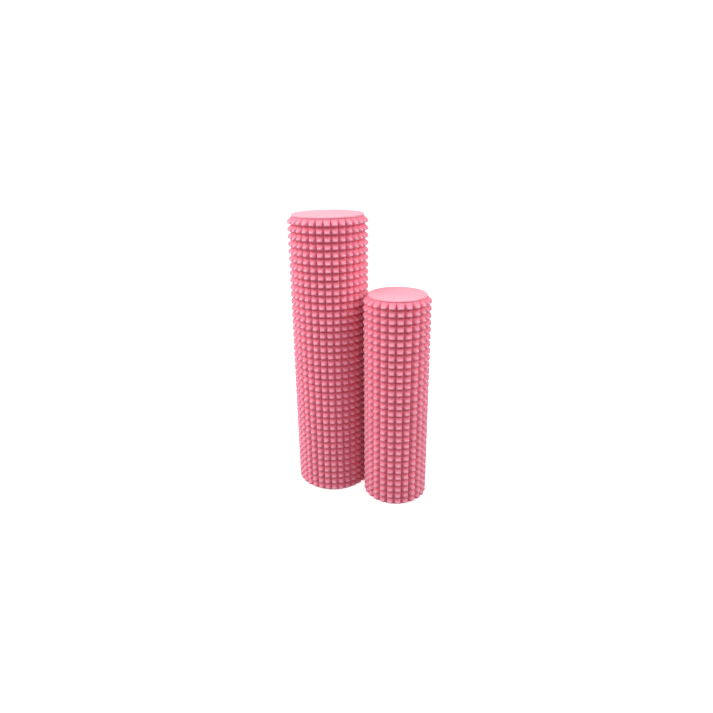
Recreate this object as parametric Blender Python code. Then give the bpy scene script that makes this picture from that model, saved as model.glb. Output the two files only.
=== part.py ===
"""A pair of studded foam massage rollers standing on end: a tall one and a slimmer, shorter one.

Each roller is a round foam core inside a sleeve of soft studs, closed at both ends by a flat
foam disc with a chamfered rim. Metres, +Z up. The floor is z = 0, both roller axes stand on
the X axis, and the origin is midway between the two outer sides of the pair.
"""

import math

import bmesh
import bpy
from mathutils import Matrix

# Driving dimensions shared by both rollers.
ROW_PITCH = 0.010  # one row of studs to the next, along the axis
STUD_HEIGHT = 0.0070  # groove floor to stud tip
TIP_DROP = 0.0018  # stud tip below the middle of its row
SKIN_WALL = 0.0060  # foam of the sleeve under the groove floor
DISC_THICKNESS = 0.0030  # end disc, with its glue gap
DISC_OVERHANG = 0.0008  # rim of an end disc outside the groove floor
GLUE_GAP = 0.0003  # between any two foam faces that meet
GAP_BETWEEN_TIPS = 0.0025  # between the stud tips of the two standing rollers
DISC_SIDES = 48  # flats round an end disc

# What makes one roller differ from the other. The rim is the slope round the outer face of an
# end disc, as a share of the disc's thickness. The turn is where the first upright groove lies,
# counted about +Z from +X.
TALL = {"rows": 40, "studs_around": 32, "groove_radius": 0.0485, "rim": 0.45, "turn_deg": 0.5}
SHORT = {"rows": 30, "studs_around": 24, "groove_radius": 0.0393, "rim": 0.80, "turn_deg": 6.4}

SHARP_ANGLE = math.radians(30)
SKIN_PINK = (0.83, 0.27, 0.37, 1.0)
DISC_PINK = (0.92, 0.42, 0.53, 1.0)
CORE_PINK = (0.80, 0.34, 0.43, 1.0)


def clear_scene():
    for old in list(bpy.data.objects):
        bpy.data.objects.remove(old, do_unlink=True)


def foam(name, colour, roughness):
    """Matt closed-cell foam of one colour."""
    material = bpy.data.materials.new(name)
    material.use_nodes = True
    shader = material.node_tree.nodes["Principled BSDF"]
    shader.inputs["Base Color"].default_value = colour
    shader.inputs["Roughness"].default_value = roughness
    shader.inputs["Metallic"].default_value = 0.0
    return material


def tip_radius(roller):
    return roller["groove_radius"] + STUD_HEIGHT


def bore_radius(roller):
    return roller["groove_radius"] - SKIN_WALL


def studded_length(roller):
    return roller["rows"] * ROW_PITCH


def roller_length(roller):
    return studded_length(roller) + 2 * DISC_THICKNESS


def ring(bm, radius, height, sides):
    """A closed loop of edges round the roller's axis. Returns its edges."""
    place = Matrix.Translation((0, 0, height))
    made = bmesh.ops.create_circle(bm, segments=sides, radius=radius, matrix=place)
    return list({edge for vert in made["verts"] for edge in vert.link_edges})


def carry_loop(bm, loop, rise=0.0, grow=1.0):
    """Extrudes a loop of edges, lifts it and scales it about the axis. Returns the new loop and
    the band of faces between the two."""
    made = bmesh.ops.extrude_edge_only(bm, edges=loop)["geom"]
    verts = [item for item in made if isinstance(item, bmesh.types.BMVert)]
    band = [item for item in made if isinstance(item, bmesh.types.BMFace)]
    bmesh.ops.scale(bm, verts=verts, vec=(grow, grow, 1))
    bmesh.ops.translate(bm, verts=verts, vec=(0, 0, rise))
    moved = set(verts)
    edges = {edge for vert in verts for edge in vert.link_edges}
    return [edge for edge in edges if set(edge.verts) <= moved], band


def finish_mesh(bm, name):
    bmesh.ops.recalc_face_normals(bm, faces=bm.faces)
    mesh = bpy.data.meshes.new(name)
    bm.to_mesh(mesh)
    bm.free()
    mesh.shade_smooth()
    mesh.set_sharp_from_angle(angle=SHARP_ANGLE)
    return mesh


def studded_sleeve(name, roller):
    """A tube whose outer wall is a grid of square cells, each poked out into one stud. The
    stud's tip then drops, so that its lower side is short and steep and its upper one long."""
    sides = roller["studs_around"]
    inwards = bore_radius(roller) / roller["groove_radius"]
    bm = bmesh.new()
    loop, cells = ring(bm, roller["groove_radius"], 0, sides), []
    for _ in range(roller["rows"]):
        loop, band = carry_loop(bm, loop, rise=ROW_PITCH)
        cells += band
    loop, _ = carry_loop(bm, loop, grow=inwards)
    loop, _ = carry_loop(bm, loop, rise=-studded_length(roller))
    carry_loop(bm, loop, grow=1 / inwards)
    bmesh.ops.remove_doubles(bm, verts=bm.verts, dist=GLUE_GAP / 10)
    bmesh.ops.recalc_face_normals(bm, faces=bm.faces)
    middle_of_a_flat = roller["groove_radius"] * math.cos(math.pi / sides)
    poked = bmesh.ops.poke(bm, faces=cells, offset=tip_radius(roller) - middle_of_a_flat)
    bmesh.ops.translate(bm, verts=poked["verts"], vec=(0, 0, -TIP_DROP))
    return finish_mesh(bm, name)


def upright_cylinder(bm, radius, length, sides):
    place = Matrix.Translation((0, 0, length / 2))
    bmesh.ops.create_cone(
        bm, cap_ends=True, segments=sides, radius1=radius, radius2=radius, depth=length, matrix=place
    )


def core_cylinder(name, roller):
    """The solid foam middle, a glue gap smaller than the sleeve's bore all round."""
    bm = bmesh.new()
    sides = roller["studs_around"]
    flat_to_corner = 1 / math.cos(math.pi / sides)
    upright_cylinder(bm, bore_radius(roller) - GLUE_GAP * flat_to_corner, studded_length(roller), sides)
    return finish_mesh(bm, name)


def end_disc(name, roller):
    """A round foam plate, its outer face up, with a sloped rim round that face."""
    thickness = DISC_THICKNESS - GLUE_GAP
    bm = bmesh.new()
    upright_cylinder(bm, roller["groove_radius"] + DISC_OVERHANG, thickness, DISC_SIDES)
    rim = [edge for edge in bm.edges if all(vert.co.z > thickness / 2 for vert in edge.verts)]
    slope = roller["rim"] * thickness
    bmesh.ops.bevel(bm, geom=rim, offset=slope, segments=1, affect="EDGES", profile=0.5)
    return finish_mesh(bm, name)


def add_piece(name, mesh, parent, material, height, upside_down=False):
    piece = bpy.data.objects.new(name, mesh)
    bpy.context.scene.collection.objects.link(piece)
    mesh.materials.append(material)
    piece.parent = parent
    piece.location.z = height
    if upside_down:
        piece.rotation_euler.x = math.pi
    return piece


def stand_roller(prefix, roller, axis_x, materials):
    """All four pieces of one roller, hung on an empty at the foot of its axis."""
    axis = bpy.data.objects.new(f"{prefix}_axis", None)
    bpy.context.scene.collection.objects.link(axis)
    axis.location.x = axis_x
    axis.rotation_euler.z = math.radians(roller["turn_deg"])
    top_seat = roller_length(roller) - DISC_THICKNESS + GLUE_GAP
    bottom_seat = DISC_THICKNESS - GLUE_GAP
    names = [f"{prefix}_{part}" for part in ("studded_skin", "core", "top_disc", "bottom_disc")]
    skin, core, top, bottom = names
    add_piece(skin, studded_sleeve(skin, roller), axis, materials["skin"], DISC_THICKNESS)
    add_piece(core, core_cylinder(core, roller), axis, materials["core"], DISC_THICKNESS)
    add_piece(top, end_disc(top, roller), axis, materials["disc"], top_seat)
    add_piece(bottom, end_disc(bottom, roller), axis, materials["disc"], bottom_seat, upside_down=True)


def build():
    clear_scene()
    materials = {
        "skin": foam("studded_foam", SKIN_PINK, 0.75),
        "disc": foam("end_foam", DISC_PINK, 0.70),
        "core": foam("core_foam", CORE_PINK, 0.85),
    }
    between_axes = tip_radius(TALL) + GAP_BETWEEN_TIPS + tip_radius(SHORT)
    overall_width = tip_radius(TALL) + between_axes + tip_radius(SHORT)
    tall_x = tip_radius(TALL) - overall_width / 2
    stand_roller("tall", TALL, tall_x, materials)
    stand_roller("short", SHORT, tall_x + between_axes, materials)


build()
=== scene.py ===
# %% [markdown]
# # A tall and a short studded foam roller
# Two massage rollers stand on end beside each other. Each one is a round core of foam inside
# a sleeve that is covered with small soft studs, and a smooth foam disc closes each end.
# The measured CAD model is loaded first and never changed: every visible piece below is built
# around it, in metres, in the same frame, with the floor at height zero.

# %% Load the CAD frame
import math

import bpy
import numpy as np
from mathutils import Euler, Matrix, Vector


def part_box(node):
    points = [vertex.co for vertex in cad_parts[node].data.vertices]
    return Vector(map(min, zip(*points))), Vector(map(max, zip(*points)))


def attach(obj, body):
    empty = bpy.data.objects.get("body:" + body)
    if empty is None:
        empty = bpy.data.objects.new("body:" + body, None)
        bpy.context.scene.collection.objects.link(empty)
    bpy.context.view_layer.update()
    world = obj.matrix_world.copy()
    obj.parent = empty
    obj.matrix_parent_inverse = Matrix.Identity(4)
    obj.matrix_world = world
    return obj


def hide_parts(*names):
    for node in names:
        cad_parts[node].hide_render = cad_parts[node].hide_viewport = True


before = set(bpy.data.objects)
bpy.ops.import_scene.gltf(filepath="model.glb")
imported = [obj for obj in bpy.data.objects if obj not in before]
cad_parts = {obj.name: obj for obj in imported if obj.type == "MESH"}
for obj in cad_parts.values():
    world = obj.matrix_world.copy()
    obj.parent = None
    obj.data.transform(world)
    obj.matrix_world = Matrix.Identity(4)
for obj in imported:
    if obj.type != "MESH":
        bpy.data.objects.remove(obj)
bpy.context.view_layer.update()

print("CAD nodes:", ", ".join(sorted(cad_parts)))

# %% [markdown]
# ## Driving dimensions
# The rows of studs set everything along a roller: one row is one pitch high. The lowest and
# highest corners of each CAD node give the place and size of each roller, so a piece made from
# them fits its CAD solid. What the boxes don't say is kept here: the radius at the groove
# floors, the wall of the sleeve, how many studs go round, and where the first upright groove
# lies, counted from the line between the two rollers.

# %% Sizes of both rollers
ROW_PITCH = 0.010
SKIN_WALL = 0.0060
GROOVE_RADIUS = {"tall": 0.0485, "short": 0.0393}
STUDS_AROUND = {"tall": 32, "short": 24}
FIRST_GROOVE = {"tall": math.radians(0.5), "short": math.radians(6.4)}


def roller_sizes(size):
    """Centre line, radii and heights of one roller, from the boxes of its CAD nodes. A radius
    is half of a box's depth, and the rows are the sleeve's height over the pitch."""
    skin_low, skin_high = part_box(f"{size}_studded_skin")
    core_low, core_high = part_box(f"{size}_core")
    foot_low, foot_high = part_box(f"{size}_bottom_disc")
    top_low, top_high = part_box(f"{size}_top_disc")
    return {
        "centre": ((top_low.x + top_high.x) / 2, (top_low.y + top_high.y) / 2),
        "tip": (skin_high.y - skin_low.y) / 2,
        "core": (core_high.y - core_low.y) / 2,
        "disc": (top_high.y - top_low.y) / 2,
        "skin_z": (skin_low.z, skin_high.z),
        "core_z": (core_low.z, core_high.z),
        "foot_z": (foot_low.z, foot_high.z),
        "top_z": (top_low.z, top_high.z),
        "rows": round((skin_high.z - skin_low.z) / ROW_PITCH),
    }


ROLLERS = {size: roller_sizes(size) for size in ("tall", "short")}
for size, roller in ROLLERS.items():
    print(size, {k: np.round(v, 4).tolist() for k, v in roller.items()})

# %% [markdown]
# ## A closed grid of points
# Every piece below is a profile carried round an upright axis, so they share one way of
# becoming a mesh. Points lie on a grid whose rows follow the profile and whose columns go round
# the axis. The last column joins the first. A sleeve's last row joins its first row too, which
# makes a closed tube like a long ring; a solid disc or core ends at one point on the axis at
# each end instead.

# %% Grid to mesh
def grid_quads(rows, columns, close_rows):
    """Corner numbers of every quad of a grid that wraps round its columns: the quad at (i, j)
    joins (i, j), (i, j+1), (i+1, j+1) and (i+1, j), with j+1 taken modulo the columns, and
    i+1 modulo the rows where the rows close as well."""
    i = np.arange(rows if close_rows else rows - 1)[:, None]
    j = np.arange(columns)[None, :]
    up = (i + 1) % rows
    on = (j + 1) % columns
    corners = [i * columns + j, i * columns + on, up * columns + on, up * columns + j]
    return np.stack(np.broadcast_arrays(*corners), axis=-1)


def mesh_piece(name, points, faces, heights=None):
    """A mesh object at the origin, smooth shaded, from points and a list of faces. Heights go
    into a point attribute named stud, 0 at a groove floor and 1 at a stud tip."""
    if heights is None:
        heights = np.zeros(len(points))
    mesh = bpy.data.meshes.new(name)
    mesh.from_pydata(points.tolist(), [], faces)
    mesh.polygons.foreach_set("use_smooth", np.ones(len(mesh.polygons), bool))
    stored = mesh.attributes.new("stud", "FLOAT", "POINT")
    stored.data.foreach_set("value", heights.astype(np.float32))
    mesh.update()
    piece = bpy.data.objects.new(name, mesh)
    bpy.context.scene.collection.objects.link(piece)
    return piece


# %% Measuring a piece
def signed_volume(piece):
    """Volume inside a closed mesh, in litres: the sum over its triangles of a sixth of the
    triple product of their corners. It is negative where faces point inwards."""
    mesh = piece.data
    mesh.calc_loop_triangles()
    points = np.empty(len(mesh.vertices) * 3, np.float32)
    mesh.vertices.foreach_get("co", points)
    corners = np.empty(len(mesh.loop_triangles) * 3, np.int32)
    mesh.loop_triangles.foreach_get("vertices", corners)
    a, b, c = points.reshape(-1, 3)[corners.reshape(-1, 3)].transpose(1, 0, 2).astype(float)
    return float((a * np.cross(b, c)).sum() / 6 * 1000)


def report(piece):
    """Prints the triangles of a piece, two for each quad, and its volume."""
    triangles = sum(len(face.vertices) - 2 for face in piece.data.polygons)
    print(f"{piece.name}: {triangles} triangles, {signed_volume(piece):.3f} litres")


# %% [markdown]
# ## The studded sleeves
# On the real roller the sleeve is moulded closed-cell foam: four-sided studs with small blunt
# tips, in straight rows and columns, with a narrow groove between neighbours. The tips sit
# below the middle of their rows, over a short steep lower side, and the upright grooves are a
# little shallower than the level ones. Over a thousand separate studs could be placed on a
# tube, but they would have to be joined without gaps. A single surface is simpler: the wall's
# radius is the groove radius plus a stud height that repeats with every row and column. A few
# grid lines for each stud are enough, put where the shape bends: at the groove, at its edge,
# under the shoulder of the tip, and at the tip's edge.

# %% Stud shape
LEVELS = np.array([0.0, 0.10, 0.80, 1.0])
SIDE_PLACES = np.array([1.0, 0.93, 0.55, 0.42])
LOWER_PLACES = np.array([-1.0, -0.96, -0.69, -0.54])
UPPER_PLACES = np.array([1.0, 0.93, 0.02, -0.22])
UPRIGHT_FLOOR = 0.10
TIP_MIDDLE = (LOWER_PLACES[-1] + UPPER_PLACES[-1]) / 2

AROUND_LINES = np.concatenate([-SIDE_PLACES, SIDE_PLACES[:0:-1]])
ALONG_LINES = np.concatenate([LOWER_PLACES, UPPER_PLACES[:0:-1]])
LINE_LEVELS = np.concatenate([LEVELS, LEVELS[:0:-1]])
print("faces on one stud:", len(AROUND_LINES) * len(ALONG_LINES))


def stud_height(u, v):
    """Height of the stud at (u, v), both -1 to 1 across one cell, from 0 in the groove to 1
    on the tip. Each direction has a profile, a line through the levels at their places, and
    the height is the lower of the two, so a stud has four sides that meet at hips. The profile
    round the roller is squeezed to start at UPRIGHT_FLOOR instead of 0, which lifts the upright
    grooves a little."""
    around = np.interp(u, np.append(AROUND_LINES, 1.0), np.append(LINE_LEVELS, 0.0))
    around = UPRIGHT_FLOOR + (1.0 - UPRIGHT_FLOOR) * around
    along = np.interp(v, np.append(ALONG_LINES, 1.0), np.append(LINE_LEVELS, 0.0))
    return np.minimum(around, along)


# %% Sleeve surface
def studded_sleeve(name, size):
    """The wall's radius is the groove radius + the stud's full height x stud_height, with the
    angle going round and the height going up. The end rings and the bore close it: the radius
    drops to the bore at the top, and comes back out at the bottom. Quads are turned so that the
    edge that splits each one into triangles runs along a stud's hip, not across it."""
    roller = ROLLERS[size]
    around = STUDS_AROUND[size]
    groove = GROOVE_RADIUS[size]
    bore = groove - SKIN_WALL
    low, high = roller["skin_z"]
    lines = len(AROUND_LINES)
    u = np.tile(AROUND_LINES, around)
    cell = np.repeat(np.arange(around), lines)
    angle = FIRST_GROOVE[size] + (cell + (u + 1) / 2) * 2 * math.pi / around
    v = np.append(np.tile(ALONG_LINES, roller["rows"]), 1.0)
    row = np.append(np.repeat(np.arange(roller["rows"]), lines), roller["rows"] - 1)
    z = low + (row + (v + 1) / 2) * (high - low) / roller["rows"]
    share = stud_height(u[None, :], v[:, None])
    radius = groove + (roller["tip"] - groove) * share
    back = np.array([[bore, high], [bore, low]])
    radius = np.vstack([radius, np.repeat(back[:, :1], len(u), axis=1)])
    share = np.vstack([share, np.zeros((len(back), len(u)))])
    z = np.concatenate([z, back[:, 1]])
    x = roller["centre"][0] + radius * np.cos(angle)
    y = roller["centre"][1] + radius * np.sin(angle)
    points = np.stack([x, y, np.broadcast_to(z[:, None], x.shape)], axis=-1).reshape(-1, 3)
    quads = grid_quads(len(z), len(u), close_rows=True)
    above = np.append(v > TIP_MIDDLE, [True, True])
    hip = (u > 0)[None, :] == above[:, None]
    quads = np.where(hip[..., None], quads, np.roll(quads, -1, axis=-1)).reshape(-1, 4)
    return mesh_piece(name, points, quads.tolist(), share.reshape(-1))


tall_sleeve = studded_sleeve("tall_studded_sleeve", "tall")
short_sleeve = studded_sleeve("short_studded_sleeve", "short")
report(tall_sleeve)
report(short_sleeve)

# %% [markdown]
# ## The end discs
# Each end is a flat disc of smooth foam with a rounded rim, glued onto the end of the sleeve.
# The rim is wider on the short roller. A cylinder with a bevelled edge would do, but a turned
# shape gives control of every ring: a profile of radius against height, carried round the axis.
# The profile starts and ends on the axis, so each pole is one point with a fan of triangles
# round it. Rings inside the flat face keep those triangles short.

# %% Turned shapes
TURNED_SIDES = 96


def turned(name, centre, profile):
    """Each profile point (radius, height) becomes a ring: x = centre + radius x cosine,
    y = centre + radius x sine. The first and last points lie on the axis."""
    profile = np.array(profile)
    rings = profile[1:-1]
    angle = np.arange(TURNED_SIDES) * 2 * math.pi / TURNED_SIDES
    x = centre[0] + rings[:, :1] * np.cos(angle)
    y = centre[1] + rings[:, :1] * np.sin(angle)
    z = np.broadcast_to(rings[:, 1:], x.shape)
    points = np.stack([x, y, z], axis=-1).reshape(-1, 3)
    poles = np.array([[*centre, profile[0, 1]], [*centre, profile[-1, 1]]])
    quads = grid_quads(len(rings), TURNED_SIDES, close_rows=False).reshape(-1, 4)
    first = np.arange(TURNED_SIDES)
    second = (first + 1) % TURNED_SIDES
    last = (len(rings) - 1) * TURNED_SIDES
    low_pole = np.full(TURNED_SIDES, len(points))
    bottom = np.stack([low_pole, second, first], axis=-1)
    top = np.stack([low_pole + 1, last + first, last + second], axis=-1)
    faces = quads.tolist() + bottom.tolist() + top.tolist()
    return mesh_piece(name, np.vstack([points, poles]), faces)


# %% Disc profile
RIM_HEIGHT = 0.0018
RIM_WIDTH = {"tall": 0.0014, "short": 0.0028}
RIM_STEPS = 7
GLUED_CORNER = 0.0002
GLUED_EDGE = 0.0003
GLUED_RINGS = (0.3, 0.6, 0.9)
FACE_RINGS = (0.97, 0.8, 0.55, 0.3)


def disc_profile(radius, inner, outer, rim):
    """From the glued face at height inner to the open face at height outer: straight out to
    the edge, round a quarter ellipse, rim wide and RIM_HEIGHT high, and flat back to the axis.
    The ellipse is radius - rim x (1 - cosine) against height + RIM_HEIGHT x sine. A disc that
    faces down has its profile turned round, so that it still runs upwards."""
    turn = np.linspace(0, math.pi / 2, RIM_STEPS)
    way = np.sign(outer - inner)
    side = outer - RIM_HEIGHT * way
    rounded = [radius - rim * (1 - np.cos(turn)), side + (outer - side) * np.sin(turn)]
    face = [[(radius - rim) * share, outer] for share in FACE_RINGS]
    glued = [[radius * share, inner] for share in GLUED_RINGS]
    edge = [[radius - GLUED_CORNER, inner], [radius, inner + GLUED_EDGE * way]]
    rim_path = np.stack(rounded, axis=-1).tolist()
    path = [[0.0, inner], *glued, *edge, *rim_path, *face, [0.0, outer]]
    return path if way > 0 else path[::-1]


# %% End discs
def end_disc(name, size, end):
    """A turned disc between the heights of its CAD node: it is glued on its lower side at the
    top end of a roller, and on its upper side at the foot."""
    roller = ROLLERS[size]
    low, high = roller[f"{end}_z"]
    inner, outer = (low, high) if end == "top" else (high, low)
    path = disc_profile(roller["disc"], inner, outer, RIM_WIDTH[size])
    return turned(name, roller["centre"], path)


tall_top = end_disc("tall_top_end", "tall", "top")
tall_foot = end_disc("tall_foot_end", "tall", "foot")
short_top = end_disc("short_top_end", "short", "top")
short_foot = end_disc("short_foot_end", "short", "foot")
for piece in (tall_top, tall_foot, short_top, short_foot):
    report(piece)

# %% [markdown]
# ## The cores
# Inside each sleeve is a bar of foam that carries the weight of whoever lies on the roller. It
# can't be seen here, but the roller would be an empty tube without it. A plain cylinder is
# enough; it is turned like the discs, so that it is closed in the same way.

# %% Cores
CORE_CORNER = 0.0015
CORE_RINGS = 9
CORE_MIDDLE = 0.5


def foam_core(name, size):
    """A plain round bar: straight out at the foot, straight up, and back to the axis, with
    both corners cut off at CORE_CORNER."""
    roller = ROLLERS[size]
    low, high = roller["core_z"]
    radius = roller["core"]
    levels = np.linspace(low + CORE_CORNER, high - CORE_CORNER, CORE_RINGS)
    foot = [[0.0, low], [radius * CORE_MIDDLE, low], [radius - CORE_CORNER, low]]
    wall = [[radius, level] for level in levels]
    top = [[radius - CORE_CORNER, high], [radius * CORE_MIDDLE, high], [0.0, high]]
    return turned(name, roller["centre"], foot + wall + top)


tall_core = foam_core("tall_foam_core", "tall")
short_core = foam_core("short_foam_core", "short")
report(tall_core)
report(short_core)

# %% [markdown]
# ## Joining the pieces to the frame
# Each piece moves with one CAD body, stands for the CAD node that it covers, and takes its
# finish from one of the record's slots.
# One table holds all of that, so that nothing is left out.

# %% Bodies, nodes and slots
PLACES = [
    (tall_sleeve, "tall_roller", "tall_studded_skin", "studded_foam"),
    (tall_core, "tall_roller", "tall_core", "core_foam"),
    (tall_top, "tall_roller", "tall_top_disc", "end_foam"),
    (tall_foot, "tall_roller", "tall_bottom_disc", "end_foam"),
    (short_sleeve, "short_roller", "short_studded_skin", "studded_foam"),
    (short_core, "short_roller", "short_core", "core_foam"),
    (short_top, "short_roller", "short_top_disc", "end_foam"),
    (short_foot, "short_roller", "short_bottom_disc", "end_foam"),
]
for piece, body, node, slot in PLACES:
    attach(piece, body)
    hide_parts(node)
print("pieces placed:", len(PLACES))

# %% [markdown]
# ## Writing shader sums in Python
# A finish is worked out in nodes. Reading a web of nodes is slow, so a small class wraps one
# socket: adding or multiplying wraps adds the Math node that does it, and one method adds any
# other kind of node with its settings and inputs.

# %% Socket wrapper
class Wire:
    """One output socket of a material. Arithmetic with it adds Math nodes."""

    def __init__(self, tree, socket=None):
        self.tree = tree
        self.socket = socket

    def node(self, kind, settings=None, inputs=None, output=0):
        """Adds a node: its settings first, then the values or wires of its sockets."""
        made = self.tree.nodes.new(kind)
        for key, value in (settings or {}).items():
            setattr(made, key, value)
        for key, value in (inputs or {}).items():
            if isinstance(value, Wire):
                self.tree.links.new(value.socket, made.inputs[key])
            else:
                made.inputs[key].default_value = value
        return Wire(self.tree, made.outputs[output])

    def maths(self, operation, *values):
        return self.node("ShaderNodeMath", {"operation": operation}, dict(enumerate(values)))

    def __add__(self, other):
        return self.maths("ADD", self, other)

    def __sub__(self, other):
        return self.maths("SUBTRACT", self, other)

    def __rsub__(self, other):
        return self.maths("SUBTRACT", other, self)

    def __mul__(self, other):
        return self.maths("MULTIPLY", self, other)

    __radd__ = __add__
    __rmul__ = __mul__

    def between(self, low, high):
        """0 below low and 1 above high, with a smooth rise between."""
        return self.node(
            "ShaderNodeMapRange",
            {"interpolation_type": "SMOOTHSTEP"},
            {"Value": self, "From Min": low, "From Max": high},
        )

    def mix(self, first, second):
        """From the first colour to the second as this wire goes from 0 to 1."""
        sockets = {0: self, 6: first, 7: second}
        return self.node("ShaderNodeMix", {"data_type": "RGBA"}, sockets, output=2)

    def noise(self, place, scale, detail=3.0, roughness=0.5):
        """Cloudy noise from 0 to 1, with scale clouds to the metre."""
        sockets = {"Vector": place, "Scale": scale, "Detail": detail, "Roughness": roughness}
        return self.node("ShaderNodeTexNoise", None, sockets)


def colour(red, green, blue):
    """A solid colour for a socket."""
    return (red, green, blue, 1.0)


print("wire operators:", "+, -, *, between, mix, noise")

# %% [markdown]
# ## Foam
# Closed-cell foam has a matt skin. Close up it is full of tiny closed pores, and its colour
# drifts a little where the mix was warmer or denser. Stud tips that are handled turn smoother,
# and their paler colour is partly wear and partly a painted highlight on faces that don't look
# down. The deeper, redder pink on the sides and grooves is painted shade, with the red of light
# bouncing between the studs painted in. An image could be wrapped round the pieces, but its
# seams and its stretch would show on the studs. Noise in the object's own space has neither,
# and the height that each mesh stores tells the finish where a stud's tip and its sides are.

# %% Foam colours
BASE_PINK = (0.98, 0.325, 0.435)
# Deep pink: the colour of the pores, and painted shade on the stud sides and in the grooves.
PORE_AND_GROOVE_SHADE_PINK = (0.98, 0.160, 0.255)
# Pale pink: mottle, and on the stud tips partly wear and partly a painted highlight.
PALE_AND_TIP_HIGHLIGHT_PINK = (0.98, 0.52, 0.65)
END_PINK = (0.97, 0.415, 0.50)
END_DEEP = (0.95, 0.34, 0.42)
END_PALE = (0.98, 0.47, 0.55)
CORE_PINK = (0.80, 0.30, 0.40)
print("foam colours:", 7)

# %% Foam pattern
DRIFT_SCALE = 28.0
MOTTLE_SCALE = 240.0
GRAIN_SCALE = 1500.0
ROUGH_NOISE = 0.6
PORE_RADIUS = (0.08, 0.34)
DRIFT_DARK = 0.94
MOTTLE_SHARE = 0.22
PORE_SHARE = 0.30
# How far the stud sides mix towards deep pink, as painted shade in the grooves.
GROOVE_SHADE_SHARE = 0.50
# How far the tips mix towards pale pink, as wear and painted highlight.
TIP_WEAR_AND_HIGHLIGHT_SHARE = 0.50
TIP_MOTTLE = 0.4
BUMP_STRENGTH = 0.35
BUMP_DEPTH = 0.0004
SPECULAR = 0.20


def foam_material(name, base, deep, pale, pores, studded):
    """Base colour with a slow drift, mottled towards pale, with pores towards deep. On studded
    foam the sides mix towards deep as the stored height falls from 0.90 to 0.10, which is
    painted shade in the grooves, and the tip mixes towards pale where the height passes 0.84
    and the face doesn't look down, which is partly wear and partly a painted highlight.
    Roughness is 0.74, more in pores and less on tips, and the bump is grain + mottle - pores.
    The number called pores is how many lie along one metre."""
    material = bpy.data.materials.new(name)
    material.use_nodes = True
    tree = material.node_tree
    shader = tree.nodes["Principled BSDF"]
    start = Wire(tree)
    place = start.node("ShaderNodeTexCoord", output="Object")
    stud = start.node("ShaderNodeAttribute", {"attribute_name": "stud"}, output="Fac")
    drift = start.noise(place, DRIFT_SCALE)
    mottle = start.noise(place, MOTTLE_SCALE, 4.0, ROUGH_NOISE)
    grain = start.noise(place, GRAIN_SCALE, 3.0, ROUGH_NOISE)
    dots = {"Vector": place, "Scale": pores}
    cells = start.node("ShaderNodeTexVoronoi", {"feature": "F1"}, dots, output="Distance")
    pore = 1.0 - cells.between(*PORE_RADIUS)
    drifted = colour(*[channel * DRIFT_DARK for channel in base])
    tone = drift.between(0.32, 0.68).mix(colour(*base), drifted)
    tone = (mottle.between(0.35, 0.75) * MOTTLE_SHARE).mix(tone, colour(*pale))
    tone = (pore * PORE_SHARE).mix(tone, colour(*deep))
    facing = start.node("ShaderNodeNewGeometry", output="Normal")
    level = start.node("ShaderNodeSeparateXYZ", None, {0: facing}, output="Z")
    # Pale tips, partly wear and partly a painted highlight, kept off the faces that look down.
    tip = stud.between(0.84, 1.0) * level.between(-0.40, -0.05)
    if studded:
        # Painted shade: the stud sides deepen towards deep pink as the stored height falls.
        side = 1.0 - stud.between(0.10, 0.90)
        tone = (side * GROOVE_SHADE_SHARE).mix(tone, colour(*deep))
        tone = (tip * (mottle * TIP_MOTTLE + TIP_WEAR_AND_HIGHLIGHT_SHARE)).mix(tone, colour(*pale))
    tree.links.new(tone.socket, shader.inputs["Base Color"])
    rough = 0.74 + mottle * 0.14 - tip * 0.06 + pore * 0.06
    tree.links.new(rough.socket, shader.inputs["Roughness"])
    relief = grain * 0.5 + mottle * 0.5 - pore * 0.6
    bumps = {"Height": relief, "Strength": BUMP_STRENGTH, "Distance": BUMP_DEPTH}
    bump = start.node("ShaderNodeBump", None, bumps, output="Normal")
    tree.links.new(bump.socket, shader.inputs["Normal"])
    shader.inputs["Specular IOR Level"].default_value = SPECULAR
    return material


# %% Foam on the pieces
FINISHES = {
    "studded_foam": foam_material(
        "studded foam", BASE_PINK, PORE_AND_GROOVE_SHADE_PINK, PALE_AND_TIP_HIGHLIGHT_PINK, pores=1100.0, studded=True
    ),
    "end_foam": foam_material(
        "smooth end foam", END_PINK, END_DEEP, END_PALE, pores=1500.0, studded=False
    ),
    "core_foam": foam_material(
        "cut core foam", CORE_PINK, PORE_AND_GROOVE_SHADE_PINK, PALE_AND_TIP_HIGHLIGHT_PINK, pores=700.0, studded=False
    ),
}
for piece, body, node, slot in PLACES:
    piece.data.materials.append(FINISHES[slot])
print("materials:", ", ".join(m.name for m in FINISHES.values()))

# %% [markdown]
# ## Floor
# The pair stands on a plain white floor that fades into its surround without an edge. A white
# paint alone turns grey wherever the lamps are weak, so the floor gives a little light of its
# own. That light isn't cast onto the rollers, which keeps their lower parts as deep as they are
# in a real studio.

# %% Floor
FLOOR_SIDE = 60.0
FLOOR_LINES = 25
FLOOR_SPECKLE = 9.0
FLOOR_ROUGHNESS = 0.9
FLOOR_GLOW = 0.80


def flat_floor(name):
    """A level square grid of points at height zero, FLOOR_SIDE wide."""
    line = np.linspace(-FLOOR_SIDE / 2, FLOOR_SIDE / 2, FLOOR_LINES)
    x, y = np.meshgrid(line, line, indexing="xy")
    points = np.stack([x, y, np.zeros_like(x)], axis=-1).reshape(-1, 3)
    i = np.arange(FLOOR_LINES - 1)[:, None] * FLOOR_LINES + np.arange(FLOOR_LINES - 1)
    corners = [i, i + 1, i + FLOOR_LINES + 1, i + FLOOR_LINES]
    return mesh_piece(name, points, np.stack(corners, axis=-1).reshape(-1, 4).tolist())


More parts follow.
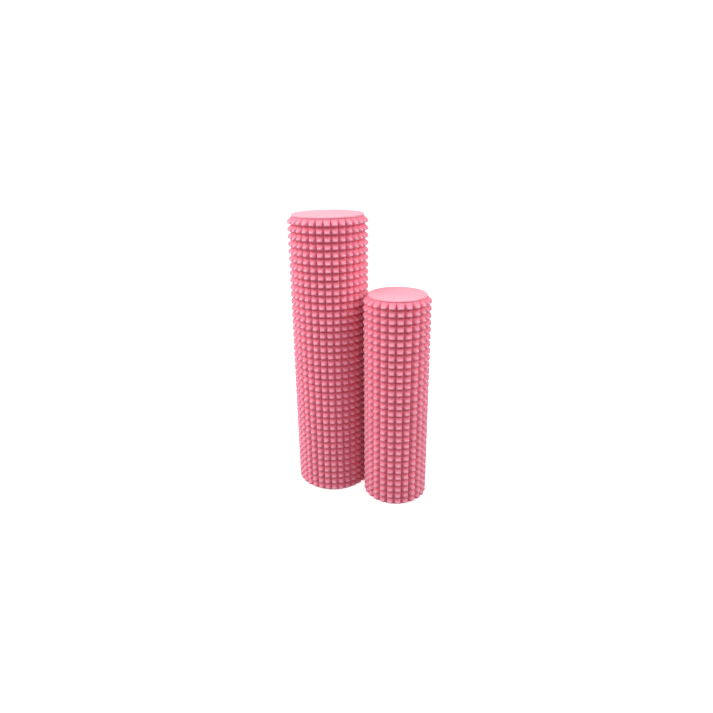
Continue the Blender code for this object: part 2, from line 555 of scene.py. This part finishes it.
def floor_material(name):
    """Two near whites mixed by a slow noise, matt, with a steady white glow."""
    material = bpy.data.materials.new(name)
    material.use_nodes = True
    tree = material.node_tree
    start = Wire(tree)
    speckle = start.noise(start.node("ShaderNodeTexCoord", output="Object"), FLOOR_SPECKLE)
    paint = tree.nodes["Principled BSDF"]
    tone = speckle.mix(colour(0.90, 0.90, 0.90), colour(0.93, 0.93, 0.93))
    tree.links.new(tone.socket, paint.inputs["Base Color"])
    paint.inputs["Roughness"].default_value = FLOOR_ROUGHNESS
    paint.inputs["Emission Color"].default_value = colour(1.0, 1.0, 1.0)
    paint.inputs["Emission Strength"].default_value = FLOOR_GLOW
    return material


floor = flat_floor("studio_floor")
floor.data.materials.append(floor_material("pale floor"))
floor.visible_diffuse = False
print("floor:", FLOOR_SIDE, "metres wide")

# %% [markdown]
# ## Light
# Two wide lamps stand high on the left and the right of the viewer, a weaker one hangs above,
# and one more behind the pair lights the far edges. They are lamps at a distance, not suns, so
# the tops of the rollers get more light than their feet. A white surround fills the shadows; it
# is brighter to the camera than it is to the rollers, which keeps the background white.

# %% White surround
SURROUND_LIGHT = 0.34
SURROUND_SEEN = 0.71

world = bpy.data.worlds.new("white surround")
bpy.context.scene.world = world
world.use_nodes = True
sky = Wire(world.node_tree)
seen = sky.node("ShaderNodeLightPath", output="Is Camera Ray")
brightness = seen * SURROUND_SEEN + SURROUND_LIGHT
background = world.node_tree.nodes["Background"]
background.inputs["Color"].default_value = colour(1.0, 1.0, 1.0)
world.node_tree.links.new(brightness.socket, background.inputs["Strength"])
print("surround:", SURROUND_LIGHT, "on the rollers")

# %% Lamps
LAMP_DISTANCE = 1.5
PAIR_MIDDLE = 0.20
# Name, azimuth, height and width in degrees, and strength.
LAMPS = [
    ("left_lamp", -48.0, 38.0, 45.0, 2.50),
    ("right_lamp", 102.0, 38.0, 45.0, 2.00),
    ("top_lamp", 27.0, 76.0, 50.0, 0.82),
    ("back_lamp", -110.0, 35.0, 50.0, 0.85),
]


def soft_lamp(name, azimuth, height, width, strength):
    """A square lamp LAMP_DISTANCE away from the middle of the pair, in the direction (azimuth,
    height), that looks width degrees wide from there: its side is twice the distance x the
    tangent of half that angle. Its power is strength x pi x distance squared, so strength is
    about the light that reaches the middle, in watts for each square metre."""
    light = bpy.data.lights.new(name, "AREA")
    light.size = 2 * LAMP_DISTANCE * math.tan(math.radians(width / 2))
    light.energy = strength * math.pi * LAMP_DISTANCE ** 2
    lamp = bpy.data.objects.new(name, light)
    turn = (math.radians(90 - height), 0.0, math.radians(azimuth))
    lamp.rotation_euler = turn
    away = Euler(turn).to_matrix() @ Vector((0.0, 0.0, LAMP_DISTANCE))
    lamp.location = Vector((0.0, 0.0, PAIR_MIDDLE)) + away
    bpy.context.scene.collection.objects.link(lamp)


for lamp in LAMPS:
    soft_lamp(*lamp)
print("lamps:", ", ".join(lamp[0] for lamp in LAMPS))

# %% [markdown]
# ## Camera
# The viewer stands in front and to the right, a little above the tall roller's top, and looks
# down at the pair. The camera could be aimed with a Track To constraint, but three angles and a
# place are exact, and they are easy to read and to change.

# %% Camera
SENSOR_WIDTH = 36.0
LENS = 27.4837027
NEAREST = 0.01
CAMERA_PLACE = (0.33181, -0.65609, 0.48109)
CAMERA_AZIMUTH = math.radians(27.247)
CAMERA_DOWN = math.radians(20.469)
CAMERA_ROLL = math.radians(-0.697)


def aim_camera(camera):
    """Right, up and back axes of the camera: azimuth turns it about the vertical, down tips it,
    and roll turns right and up about the viewing line."""
    ahead = np.array([-math.sin(CAMERA_AZIMUTH), math.cos(CAMERA_AZIMUTH), 0.0])
    right = np.array([math.cos(CAMERA_AZIMUTH), math.sin(CAMERA_AZIMUTH), 0.0])
    rise = np.array([0.0, 0.0, 1.0])
    look = ahead * math.cos(CAMERA_DOWN) - rise * math.sin(CAMERA_DOWN)
    up = ahead * math.sin(CAMERA_DOWN) + rise * math.cos(CAMERA_DOWN)
    axes = np.eye(4)
    axes[:3, 0] = right * math.cos(CAMERA_ROLL) + up * math.sin(CAMERA_ROLL)
    axes[:3, 1] = up * math.cos(CAMERA_ROLL) - right * math.sin(CAMERA_ROLL)
    axes[:3, 2] = -look
    axes[:3, 3] = CAMERA_PLACE
    camera.matrix_world = Matrix(axes.tolist())


camera_data = bpy.data.cameras.new("camera")
camera_data.sensor_width = SENSOR_WIDTH
camera_data.lens = LENS
camera_data.clip_start = NEAREST
camera = bpy.data.objects.new("camera", camera_data)
bpy.context.scene.collection.objects.link(camera)
aim_camera(camera)
bpy.context.scene.camera = camera
bpy.context.scene.view_settings.view_transform = "Standard"
print("camera at:", CAMERA_PLACE)
